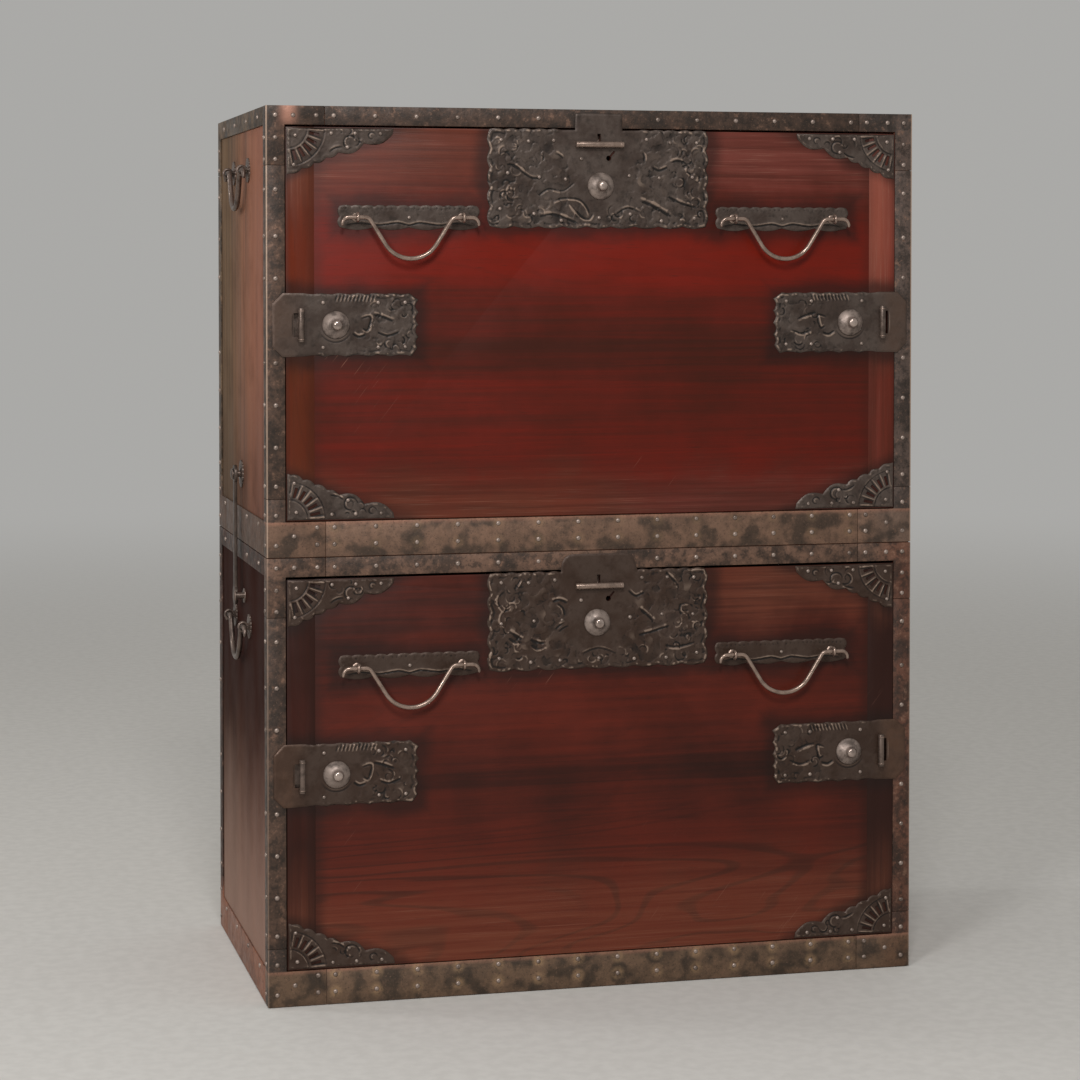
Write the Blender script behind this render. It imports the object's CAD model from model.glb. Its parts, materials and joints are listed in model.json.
"""Finish of a stacking pair of iron-bound sea chests, laid out as an add-on.

The frame gives every node in metres, +Z up, with the doors facing -Y. Sizes in this file are in
millimetres where they are multiplied by MM.
"""

import json
import math
import random
from functools import reduce

import bmesh
import bpy
import numpy as np
from bpy.props import FloatProperty, FloatVectorProperty, IntProperty, PointerProperty
from mathutils import Matrix, Vector, geometry, noise

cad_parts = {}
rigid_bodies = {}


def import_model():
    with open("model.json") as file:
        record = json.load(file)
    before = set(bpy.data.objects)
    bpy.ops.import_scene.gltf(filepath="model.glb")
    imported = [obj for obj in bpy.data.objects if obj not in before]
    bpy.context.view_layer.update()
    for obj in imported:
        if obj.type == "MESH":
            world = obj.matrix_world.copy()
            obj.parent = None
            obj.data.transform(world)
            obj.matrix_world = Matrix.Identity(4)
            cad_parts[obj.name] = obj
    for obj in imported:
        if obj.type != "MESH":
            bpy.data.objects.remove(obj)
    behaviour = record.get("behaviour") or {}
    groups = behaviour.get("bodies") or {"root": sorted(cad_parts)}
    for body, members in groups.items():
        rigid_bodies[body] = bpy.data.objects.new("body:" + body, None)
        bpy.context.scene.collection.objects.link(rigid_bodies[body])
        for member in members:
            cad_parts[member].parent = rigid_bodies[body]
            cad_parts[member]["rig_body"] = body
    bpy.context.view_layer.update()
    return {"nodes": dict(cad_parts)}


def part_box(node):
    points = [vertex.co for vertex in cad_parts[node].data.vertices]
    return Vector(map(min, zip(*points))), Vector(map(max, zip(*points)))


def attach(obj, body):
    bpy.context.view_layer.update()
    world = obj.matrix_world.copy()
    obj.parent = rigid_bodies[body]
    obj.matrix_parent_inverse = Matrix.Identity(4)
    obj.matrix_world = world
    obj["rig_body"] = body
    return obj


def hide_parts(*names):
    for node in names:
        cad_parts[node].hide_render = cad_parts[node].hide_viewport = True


bl_info = {
    "name": "Iron-bound sea chests",
    "version": (1, 0, 0),
    "blender": (4, 5, 0),
    "location": "3D View > Sidebar > Sea chests",
    "description": "Dresses a stacking pair of iron-bound sea chests",
    "category": "Add Mesh",
}

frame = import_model()
NODES = frame["nodes"]
CHESTS = ("lower", "upper")
MM = 0.001

# Measures of the chests that the finish follows
RAIL_HEIGHT = 42 * MM  # the iron rail along the foot of a front
RAIL_NAIL_ROWS = (14.5 * MM, 34.5 * MM)  # above the rail's foot
RAIL_NAIL_PITCH = 49 * MM
RAIL_NAILS_END = 349 * MM  # from the middle, where the corner pieces begin
JOINT_INSET = 8 * MM  # from a door board's end to its joint with the batten
NARROW = 50 * MM  # of the irons on a door, the ones narrower than this are posts and rivets
POST_ROSETTE = 30 * MM  # width of a handle post's rosette; the hook stud's is wider


# Colours and sizes


def linear(hex_code):
    """Linear RGBA of an sRGB hex colour."""
    channels = [int(hex_code[i:i + 2], 16) / 255 for i in (1, 3, 5)]
    return [c / 12.92 if c <= 0.04045 else ((c + 0.055) / 1.055) ** 2.4 for c in channels] + [1.0]


def colour(hex_code, name, description):
    """A colour property whose default is an sRGB hex colour."""
    return FloatVectorProperty(
        name=name, description=description, subtype="COLOR", size=4, min=0, max=1,
        default=linear(hex_code))


def length(millimetres, name, description):
    """A length property in metres, with its default in millimetres."""
    return FloatProperty(
        name=name, description=description, subtype="DISTANCE", unit="LENGTH", min=0,
        default=millimetres * MM)


class ChestColours(bpy.types.PropertyGroup):
    """Colours of the lacquers, woods and irons."""

    upper_red: colour("#6c1506", "Upper door", "Clear red lacquer of the upper door")
    upper_deep: colour("#3a170d", "Upper door shade", "Dark grain and soot in the upper door")
    lower_red: colour("#5c1f12", "Lower door", "Brown-red lacquer of the lower door")
    lower_deep: colour("#29130d", "Lower door shade", "Dark grain and soot in the lower door")
    haze: colour("#75422f", "Door haze", "Dry, greyed lacquer at the top of the doors")
    batten: colour("#58280f", "Battens", "Orange-brown lacquer of the upright battens")
    side_front: colour("#96604a", "Side, front", "Rubbed lacquer on the front half of the sides")
    side_rear: colour("#6f563e", "Side, rear", "Bare, greened lacquer on the rear half of the sides")
    side_deep: colour("#2e1f18", "Side shade", "Grain lines on the case boards")
    side_low: colour("#a58779", "Side foot", "Dusty lacquer of the lower sides near the floor")
    kiri: colour("#b8966b", "Paulownia", "Bare wood of the drawers and shelves")
    kiri_deep: colour("#97744c", "Paulownia shade", "Late growth in the bare wood")
    kiri_aged: colour("#7d6247", "Aged paulownia", "Broad patches where the bare wood has browned")
    strap: colour("#543f33", "Straps", "Brown patina of the strap iron")
    strap_dark: colour("#241c16", "Strap soot", "Dark patches of the strap iron")
    strap_rub: colour("#8f6c58", "Rubbed straps", "Strap iron where hands have rubbed it to bronze")
    strap_rust: colour("#95614a", "Rusty straps", "Warm rust on the straps near the floor")
    strap_gold: colour("#a98866", "Nail rust", "Yellow rust round the nails of the rails")
    plate: colour("#40332c", "Plates", "Dark oiled iron of the chased plates")
    plate_smooth: colour("#51453e", "Smooth plates", "Plate iron where it is plain and rubbed")
    plate_cut: colour("#120d0a", "Chased lines", "Soot in the chased lines of the plates")
    plate_ridge: colour("#9c8676", "Plate ridges", "Rubbed ridges and rims of the plates")
    nail: colour("#a08f85", "Nails", "Rubbed nail heads")
    boss: colour("#93837a", "Bosses", "Rubbed domes of the bosses")
    rod: colour("#a08a7d", "Rods", "Polished rods of pulls and grips")
    handle: colour("#73635a", "Handles", "Dark iron of carrying handles and hooks")


class ChestSizes(bpy.types.PropertyGroup):
    """Sizes of the finishing detail."""

    board_ease: length(0.8, "Board easing", "Width of the eased edges of boards and doors")
    iron_ease: length(0.5, "Iron easing", "Width of the eased edges of straps")
    net: length(1.25, "Relief net", "Spacing of the net that carries the chased relief")
    rim_roll: length(1.0, "Rim roll", "How far a plate's rim is hammered down to the wood")
    cut: length(0.85, "Chased line depth", "Depth of the chased lines")
    dents: length(0.22, "Hammering", "Height of the hammer marks on the plates")
    soot: length(22, "Soot", "How far soot and dirt reach from the door irons")
    seed: IntProperty(name="Seed", description="Seed of the small irregularities", default=7, min=0)


class ChestSettings(bpy.types.PropertyGroup):
    """Everything that a user may change."""

    colours: PointerProperty(type=ChestColours)
    sizes: PointerProperty(type=ChestSizes)


def tones():
    """The user's colours."""
    return bpy.context.scene.sea_chests.colours


def sizes():
    """The user's sizes."""
    return bpy.context.scene.sea_chests.sizes


# Shapes: each is an array of points in metres and a list of faces


def tube_faces(rings, sides):
    """Quads between successive rings of as many points."""
    faces = []
    for first in range(0, (rings - 1) * sides, sides):
        for i in range(sides):
            after = (i + 1) % sides
            faces.append((first + i, first + after, first + sides + after, first + sides + i))
    return faces


def lathe(profile, steps=20):
    """Surface turned about +Z from (radius, height) pairs in millimetres."""
    turns = np.arange(steps) * 2 * math.pi / steps
    points = [(r * math.cos(t), r * math.sin(t), h) for r, h in profile for t in turns]
    return np.array(points) * MM, tube_faces(len(profile), steps)


def sweep(path, radii, normal, sides=14):
    """Round rod along a flat path, all in millimetres; normal is square to the path's plane."""
    path = np.array(path, float)
    along = np.gradient(path, axis=0)
    along /= np.linalg.norm(along, axis=1)[:, None]
    across = np.cross(along, normal)
    turns = np.arange(sides) * 2 * math.pi / sides
    points = [
        p + r * (math.cos(t) * a + math.sin(t) * np.array(normal, float))
        for p, a, r in zip(path, across, radii) for t in turns
    ]
    last = (len(path) - 1) * sides
    ends = [tuple(range(sides - 1, -1, -1)), tuple(range(last, last + sides))]
    return np.array(points) * MM, tube_faces(len(path), sides) + ends


def ring(radius, rod, steps=28, sides=12):
    """Closed round ring about +X, in millimetres."""
    turns = np.arange(steps) * 2 * math.pi / steps
    around = np.arange(sides) * 2 * math.pi / sides
    points = []
    for t in turns:
        for s in around:
            reach = radius + rod * math.cos(s)
            points.append((rod * math.sin(s), reach * math.cos(t), reach * math.sin(t)))
    last = (steps - 1) * sides
    seam = [(last + i, last + (i + 1) % sides, (i + 1) % sides, i) for i in range(sides)]
    return np.array(points) * MM, tube_faces(steps, sides) + seam


def rosette(radius, thickness, petals=16, steps=96):
    """Chrysanthemum washer about +Z: ribbed petals round a small dome, in millimetres."""
    points = []
    marks = (1.0, 1.0, 0.97, 0.86, 0.7, 0.55, 0.46, 0.42, 0.36, 0.24, 0.0)
    for number, mark in enumerate(marks):
        for t in np.arange(steps) * 2 * math.pi / steps:
            petal = abs(math.cos(petals * t / 2)) ** 0.5
            edge = 1 - 0.07 * (1 - petal) if mark > 0.9 else 1
            crown = 0.5 + 0.5 * petal if 0.42 < mark < 1 else 1
            height = thickness * (0.35 + 0.45 * crown if mark > 0.42 else 1.5 - 1.2 * mark)
            reach = radius * mark * edge
            points.append((reach * math.cos(t), reach * math.sin(t), height if number else 0))
    return np.array(points) * MM, tube_faces(len(marks), steps)


def moved(shape, matrix):
    """A shape put in place by a 4x4 matrix."""
    points, faces = shape
    m = np.array(matrix)
    return points @ m[:3, :3].T + m[:3, 3], faces


def joined(shapes):
    """Several shapes as one."""
    points, faces, start = [], [], 0
    for p, f in shapes:
        points.append(p)
        faces += [tuple(i + start for i in face) for face in f]
        start += len(p)
    return np.concatenate(points), faces


def standing(origin, normal, spin=0.0, scale=1.0):
    """Matrix that stands +Z of a shape on origin, along normal."""
    turn = Vector(normal).to_track_quat("Z", "Y").to_matrix().to_4x4()
    return Matrix.Translation(origin) @ turn @ Matrix.Rotation(spin, 4, "Z") @ Matrix.Scale(scale, 4)


# Pieces


SPLIT = 0.002 * MM  # how far apart the split points of one corner may lie
TINY = 0.004 * MM  # edges shorter than this are dropped


def to_piece(name, bm, body, material, replaced=(), crease=32):
    """Turns a bmesh into a finished piece on a body; edges up to crease degrees are smooth."""
    bmesh.ops.remove_doubles(bm, verts=bm.verts, dist=TINY)
    bmesh.ops.dissolve_degenerate(bm, edges=bm.edges, dist=TINY)
    bmesh.ops.recalc_face_normals(bm, faces=bm.faces)
    for face in bm.faces:
        face.smooth = True
    for edge in bm.edges:
        edge.smooth = edge.calc_face_angle(0) < math.radians(crease)
    mesh = bpy.data.meshes.new(name)
    bm.to_mesh(mesh)
    bm.free()
    piece = bpy.data.objects.new(name, mesh)
    bpy.context.scene.collection.objects.link(piece)
    mesh.materials.append(material)
    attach(piece, body)
    if replaced:
        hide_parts(*replaced)


def to_bmesh(shape):
    """A bmesh of a shape, without its collapsed faces."""
    bm = bmesh.new()
    points = [bm.verts.new(p) for p in shape[0]]
    for face in shape[1]:
        corners = [points[i] for i in face]
        if len(set(corners)) == len(corners):
            bm.faces.new(corners)
    return bm


def body_of(node):
    """The body that a CAD node belongs to."""
    return NODES[node]["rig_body"]


def welded(node):
    """A bmesh of a CAD node with its split points joined again."""
    bm = bmesh.new()
    bm.from_mesh(NODES[node].data)
    bmesh.ops.remove_doubles(bm, verts=bm.verts, dist=SPLIT)
    return bm


def eased(node, material, width, segments=2):
    """Puts a copy of a CAD node with its sharp edges eased in its place."""
    bm = welded(node)
    bmesh.ops.dissolve_limit(bm, angle_limit=math.radians(1), verts=bm.verts, edges=bm.edges)
    sharp = [e for e in bm.edges if e.calc_face_angle(0) > math.radians(40)]
    bmesh.ops.bevel(bm, geom=sharp, offset=width, segments=segments, profile=0.5, affect="EDGES",
                    clamp_overlap=True)
    to_piece(node + "_eased", bm, body_of(node), material, [node])


def islands(node):
    """Lowest and highest corner of each loose solid of a CAD node."""
    bm = welded(node)
    left = set(bm.verts)
    boxes = []
    while left:
        seen, front = set(), [left.pop()]
        while front:
            vert = front.pop()
            seen.add(vert)
            for edge in vert.link_edges:
                other = edge.other_vert(vert)
                if other in left:
                    left.discard(other)
                    front.append(other)
        corners = np.array([vert.co for vert in seen])
        boxes.append((Vector(corners.min(0)), Vector(corners.max(0))))
    bm.free()
    return sorted(boxes, key=lambda b: tuple(round(c, 5) for c in b[0]))


# Chased plates: the outline comes from the CAD plate, and the relief from strokes in millimetres


def front_loops(node, level):
    """Outlines of a plate's front face at y = level, as lists of (x, z) in metres."""
    bm = welded(node)
    front = {
        f for f in bm.faces
        if f.normal.y < -0.99 and abs(f.calc_center_median().y - level) < 0.05 * MM}
    steps = {}
    for face in front:
        for loop in face.loops:
            if sum(f in front for f in loop.edge.link_faces) == 1:
                steps[loop.vert.index] = loop.link_loop_next.vert.index
    bm.verts.ensure_lookup_table()
    loops = []
    while steps:
        start, at = steps.popitem()
        loop = [start]
        while at != start:
            loop.append(at)
            at = steps.pop(at)
        loops.append(np.array([(bm.verts[i].co.x, bm.verts[i].co.z) for i in loop]))
    bm.free()
    return loops


def area(loop):
    """Area of a closed loop, with the sign of its turn."""
    x, z = loop[:, 0], loop[:, 1]
    return 0.5 * np.sum(x * np.roll(z, -1) - np.roll(x, -1) * z)


def inside(points, loop):
    """Which of the points lie in a closed loop."""
    found = np.zeros(len(points), bool)
    for p, q in zip(loop, np.roll(loop, -1, 0)):
        if p[1] != q[1]:
            crosses = (p[1] > points[:, 1]) != (q[1] > points[:, 1])
            at = (q[0] - p[0]) * (points[:, 1] - p[1]) / (q[1] - p[1]) + p[0]
            found ^= crosses & (points[:, 0] < at)
    return found


def line_distance(points, line):
    """Distance to an open line, which side of it, and how far along it the nearest place is."""
    best = np.full(len(points), 1e9)
    side = np.zeros(len(points))
    along = np.zeros(len(points))
    count = len(line) - 1
    for i in range(count):
        p, d = line[i], line[i + 1] - line[i]
        t = np.clip(((points - p) @ d) / max(d @ d, 1e-12), 0, 1)
        off = points - p - t[:, None] * d
        distance = np.hypot(off[:, 0], off[:, 1])
        nearer = distance < best
        best = np.where(nearer, distance, best)
        side = np.where(nearer, np.sign(d[0] * off[:, 1] - d[1] * off[:, 0]), side)
        along = np.where(nearer, (i + t) / count, along)
    return best, side, along


def closed(loop):
    """A loop with its first point again at the end."""
    return np.vstack([loop, loop[:1]])


def curl(x, z, r0, r1, a0, a1, count=16):
    """Spiral stroke about a point, from radius and angle to radius and angle."""
    t = np.linspace(0, 1, count)
    angle = np.radians(a0 + (a1 - a0) * t)
    radius = r0 + (r1 - r0) * t
    return np.stack([x + radius * np.cos(angle), z + radius * np.sin(angle)], 1)


def bow(x0, z0, x1, z1, sag=0.0, count=10):
    """Stroke between two points, bowed to its left by sag."""
    t = np.linspace(0, 1, count)
    dx, dz = x1 - x0, z1 - z0
    lift = sag * 4 * t * (1 - t) / math.hypot(dx, dz)
    return np.stack([x0 + dx * t - dz * lift, z0 + dz * t + dx * lift], 1)


def flowing(*points, count=6):
    """Smooth stroke through a few points."""
    marks = np.array([points[0], *points, points[-1]], float)
    line = []
    for a, b, c, d in zip(marks, marks[1:], marks[2:], marks[3:]):
        for t in np.arange(count) / count:
            line.append(0.5 * (2 * b + (c - a) * t + (2 * a - 5 * b + 4 * c - d) * t ** 2
                               + (3 * b - a - 3 * c + d) * t ** 3))
    return np.array(line + [marks[-1]])


def relief(points, strokes):
    """Height of the chasing in chased-line depths: a cut along each stroke, a ridge on its left."""
    height = np.zeros(len(points))
    for line, width, depth in strokes:
        low, high = line.min(0) - 4 * width, line.max(0) + 4 * width
        near = np.all((points > low) & (points < high), axis=1)
        if not near.any():
            continue
        distance, side, along = line_distance(points[near], line)
        taper = np.clip(4 * along * (1 - along), 0, 1) ** 0.4
        signed = distance * side / width
        cut = np.exp(-(signed / 0.8) ** 2)
        ridge = np.exp(-((signed - 1.7) / 0.9) ** 2)
        height[near] += depth * taper * (0.75 * ridge - cut)
    return height


# The chased ground lies under the CAD plate's face, and only ridges rise near it or a little proud
GROUND_DROP = 0.5 * MM
PROUD = 0.25 * MM
BEAD_HEIGHT = 0.45 * MM
GUTTER_DEPTH = 0.25 * MM
GROUND_SEEDS = {"lock_plate": 3, "latch_plates": 11, "corner_plates": 17, "pull_mounts": 23}


def chased_plates(unit, part, strokes, calm=(), rims=1.0, leaves=1.0):
    """Makes one piece for the plates of a node: fine relief inside each plate's own outline.

    Round the calm places, given as x, z and radius in millimetres, the iron stays smooth.
    The shares of the rims' beads and of the leafy ground go from 0 to 1.
    """
    node, seed = f"{unit}_{part}", GROUND_SEEDS[part] + CHESTS.index(unit)
    level, back = (corner.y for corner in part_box(unit + "_lock_plate"))
    loops = front_loops(node, level)
    turn = math.copysign(1, area(max(loops, key=lambda loop: abs(area(loop)))))
    holes = [loop for loop in loops if area(loop) * turn < 0]
    shapes, marks = [], []
    for outline in (loop for loop in loops if area(loop) * turn > 0):
        mine = [hole for hole in holes if inside(hole[:1], outline)[0]]
        shape, mark = chased_sheet(outline, mine, level, back, strokes, seed, calm, rims, leaves)
        shapes.append(shape)
        marks.append(mark)
    bm = to_bmesh(joined(shapes))
    layer = bm.verts.layers.float.new("relief")
    for vert, mark in zip(bm.verts, np.concatenate(marks)):
        vert[layer] = mark
    to_piece(node + "_chased", bm, body_of(node), chased_wrought_iron(unit), [node], crease=60)


def chased_sheet(outline, holes, level, back, strokes, seed, calm, rims, leaves):
    """One plate's front, as a net with relief, and its rim down to the wood."""
    net = sizes().net
    low, high = outline.min(0), outline.max(0)
    edge_loops = [outline] + holes
    cells = np.concatenate([
        [(x, z) for x in np.arange(low[0] + net * (0.25 + 0.5 * (i % 2)), high[0], net)]
        for i, z in enumerate(np.arange(low[1] + net / 2, high[1], net * 0.87))
    ])
    keep = inside(cells, outline)
    for rim in edge_loops:
        keep &= line_distance(cells, closed(rim))[0] > 0.45 * net
    for hole in holes:
        keep &= ~inside(cells, hole)
    points = np.concatenate(edge_loops + [cells[keep]])
    edges, start = [], 0
    for rim in edge_loops:
        edges += [(start + i, start + (i + 1) % len(rim)) for i in range(len(rim))]
        start += len(rim)
    flat, _, faces, origin, _, _ = geometry.delaunay_2d_cdt(
        [Vector(p) for p in points], edges, [], 0, 1e-9)
    flat = np.array([tuple(v) for v in flat])
    middles = np.array([flat[list(f)].mean(0) for f in faces])
    keep = inside(middles, outline)
    for hole in holes:
        keep &= ~inside(middles, hole)
    faces = [tuple(f) for f, wanted in zip(faces, keep) if wanted]
    height, mark = chased_surface(flat, outline, strokes, seed, calm, rims, leaves)
    y = np.maximum(level - height, level - PROUD)
    front = np.stack([flat[:, 0], y, flat[:, 1]], 1)
    rear = np.stack([points[:start, 0], np.full(start, back), points[:start, 1]], 1)
    new_index = {source: i for i, sources in enumerate(origin) for source in sources}
    count = len(front)
    faces += [(new_index[i], new_index[j], count + j, count + i) for i, j in edges]
    return (np.concatenate([front, rear]), faces), np.concatenate([mark, np.full(start, 0.2)])


def chased_surface(flat, outline, strokes, seed, calm, rims, leaves):
    """Height over the CAD plate's face, and the mark that colours it, at points of one plate."""
    size = sizes()
    middle = (outline.min(0) + outline.max(0)) / 2
    half = (outline.max(0) - outline.min(0)) / 2
    rim = line_distance(flat, closed(outline))[0] / MM
    chased = relief(flat / MM, strokes)
    roll = np.exp(-((rim / 1.2) ** 2))
    broad, fine, leafy = np.array([
        [noise.noise(Vector((x * scale, seed + scale, z * scale))) for scale in (70, 260, 105)]
        for x, z in flat]).T
    busy = np.ones(len(flat))
    for x, z, radius in calm:
        away = np.hypot(flat[:, 0] / MM - x, flat[:, 1] / MM - z)
        busy = np.minimum(busy, np.clip((away - radius) / 16, 0, 1))
    worked = busy * leaves
    leaf_edge = np.clip((leafy + 0.25 * fine + 0.05) / 0.13, 0, 1)
    ground = (leaf_edge ** 2 * (3 - 2 * leaf_edge) - 0.5) * worked
    veins = np.exp(-(((leafy + 0.02) / 0.035) ** 2)) * worked
    ends = np.clip((np.abs(flat[:, 0] - middle[0]) / half[0] - 0.78) / 0.15, 0, 1)
    bead = np.exp(-(((rim - 2.4) / 1.1) ** 2)) * np.clip(0.15 + 2.4 * fine + 0.6 * ends, 0, 1.1)
    gutter = np.exp(-(((rim - 5.0) / 1.3) ** 2)) * np.clip(0.25 + 1.6 * broad + 0.5 * ends, 0, 1)
    bead, gutter = bead * rims * busy, gutter * rims * busy
    height = bead * BEAD_HEIGHT - gutter * GUTTER_DEPTH - roll * size.rim_roll - GROUND_DROP
    height += np.clip(chased, -1.2, 0.9) * size.cut + (broad + 0.5 * fine) * size.dents
    height += (ground * 0.55 - veins * 0.3) * size.cut
    mark = np.clip(chased, -1, 1) + 0.75 * bead - 0.5 * gutter + 0.35 * ground - 0.3 * veins
    return height, np.clip(mark + 0.35 * broad * worked, -1, 1)


# Materials


def connect(tree, node, inputs):
    """Sets or links a node's inputs by name, from numbers, sRGB hex colours, nodes or their outputs."""
    for name, value in inputs.items():
        if isinstance(name, int):
            socket = node.inputs[name]
        else:
            socket = next(s for s in node.inputs if s.enabled and s.name == name)
        if isinstance(value, bpy.types.Node):
            value = next(s for s in value.outputs if s.enabled)
        if isinstance(value, bpy.types.NodeSocket):
            tree.links.new(value, socket)
        else:
            socket.default_value = linear(value) if isinstance(value, str) else value


def add(tree, kind, inputs=None, stops=(), **settings):
    """Adds a shader node with its options, its ramp's stops and its inputs."""
    made = tree.nodes.new("ShaderNode" + kind)
    for key, value in settings.items():
        setattr(made, key, value)
    if stops:
        marks = made.color_ramp.elements
        while len(marks) < len(stops):
            marks.new(0.5)
        for mark, (position, level) in zip(marks, stops):
            mark.position = position
            mark.color = (level, level, level, 1.0)
    connect(tree, made, inputs or {})
    return made


def new_material(name):
    """A new material with its tree, its surface shader and the piece's own coordinates in metres."""
    material = bpy.data.materials.new(name)
    material.use_nodes = True
    tree = material.node_tree
    return material, tree, tree.nodes["Principled BSDF"], add(tree, "TexCoord").outputs["Object"]


def made_once(make):
    """Keeps one material for each name that a maker builds."""
    def get(*args):
        name = "_".join([make.__name__, *map(str, args)])
        return bpy.data.materials.get(name) or make(name, *args)
    return get


def grain(tree, place, cells, detail=4, rough=0.6, distortion=0.0):
    """Noise in cells of one size in millimetres, or drawn out, as axis, length along it and width."""
    scale = 1.0
    if isinstance(cells, tuple):
        along, long_mm, wide_mm = cells
        stretch = [1 / (wide_mm * MM)] * 3
        stretch["XYZ".index(along)] = 1 / (long_mm * MM)
        place = add(tree, "Mapping", {"Vector": place, "Scale": stretch})
    else:
        scale = 1 / (cells * MM)
    return add(tree, "TexNoise", {
        "Vector": place, "Scale": scale, "Detail": detail, "Roughness": rough, "Distortion": distortion})


def combined(tree, operation, values):
    """Several values taken together, two at a time."""
    return reduce(lambda a, b: add(tree, "Math", {0: a, 1: b}, operation=operation), values)


def share(tree, *parts):
    """How much of something shows: the product of numbers, nodes and fades.

    A fade is a measure, where it starts and where it is full, and then, if not 1 and 0, how much
    shows at the full end and at the start.
    """
    factors = []
    for part in parts:
        if isinstance(part, tuple):
            measure, start, full, *ends = part
            most, least = (*ends, *(1.0, 0.0)[len(ends):])
            part = add(
                tree, "MapRange",
                {"Value": measure, "From Min": start, "From Max": full, "To Min": least, "To Max": most},
                interpolation_type="SMOOTHSTEP")
        factors.append(part)
    return combined(tree, "MULTIPLY", factors)


def coated(tree, look, *coats):
    """A look with coats laid over it, each given as a colour and the parts of its share."""
    for tone, *parts in coats:
        inputs = {"Factor": share(tree, *parts), "A": look, "B": tone}
        look = add(tree, "Mix", inputs, data_type="RGBA").outputs[2]
    return look


def off(tree, value, middle=0.0):
    """How far a value is from a middle one."""
    if middle:
        value = add(tree, "Math", {0: value, 1: middle}, operation="SUBTRACT")
    return add(tree, "Math", {0: value}, operation="ABSOLUTE")


def drifting(tree, value, noise_node, reach):
    """A value pushed to and fro by a noise, by as much as reach."""
    pushed = add(tree, "Math", {0: noise_node, 1: 2 * reach, 2: value}, operation="MULTIPLY_ADD")
    return add(tree, "Math", {0: pushed, 1: reach}, operation="SUBTRACT")


def bumped(tree, *layers):
    """Bumps laid over each other, each given as strength, depth in millimetres and height."""
    below = {}
    for strength, depth_mm, height in layers:
        inputs = {"Strength": strength, "Distance": depth_mm * MM, "Height": height, **below}
        below = {"Normal": add(tree, "Bump", inputs)}
    return below["Normal"]


def beside_irons(tree, place, unit, reach):
    """1 at the door's irons, fading to 0 at reach from them, with a ragged edge."""
    x, _, z = add(tree, "SeparateXYZ", {"Vector": place}).outputs
    x = off(tree, x)
    gaps = []
    for part in ("lock_plate", "latch_plates", "pull_mounts"):
        for low, high in islands(f"{unit}_{part}"):
            if high.x < -MM or high.x - low.x < NARROW:
                continue
            middle, half = (low + high) / 2, (high - low) / 2
            gaps.append(combined(tree, "MAXIMUM", [
                add(tree, "Math", {0: off(tree, value, centre), 1: span}, operation="SUBTRACT")
                for value, centre, span in ((x, middle.x, half.x), (z, middle.z, half.z))]))
    for low, high in islands(f"{unit}_corner_plates"):
        if high.x < 0:
            continue
        up = 1 if low.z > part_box(f"{unit}_pull_mounts")[0].z else -1
        wide, tall = high.x - low.x, high.z - low.z
        level = tall * high.x / wide + up * (high.z if up > 0 else low.z) - 0.95 * tall
        rise = add(tree, "Math", {0: z, 1: -up, 2: level}, operation="MULTIPLY_ADD")
        gaps.append(add(tree, "Math", {0: x, 1: -tall / wide, 2: rise}, operation="MULTIPLY_ADD"))
    ragged = grain(tree, place, 45.45, 3, 0.5)
    nearest = drifting(tree, combined(tree, "MINIMUM", gaps), ragged, reach * 0.6)
    return share(tree, (nearest, reach, 0.0))


# Heights in millimetres above a chest's base, and how much clear red shows there: 0 is all shade
RED_HEIGHTS = {
    "upper": (
        (40, 0.25), (72, 0.36), (98, 0.5), (130, 0.5), (160, 0.42), (198, 0.46), (238, 0.1), (262, 0.26),
        (300, 0.4), (328, 0.86), (365, 1.0), (392, 0.62), (430, 0.4), (500, 0.34)),
    "lower": (
        (40, 0.8), (70, 0.92), (100, 0.85), (135, 0.66), (165, 0.6), (200, 0.5), (238, 0.46), (254, 0.2),
        (275, 0.4), (320, 0.66), (350, 0.66), (390, 0.48), (440, 0.4), (500, 0.46)),
}


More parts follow.
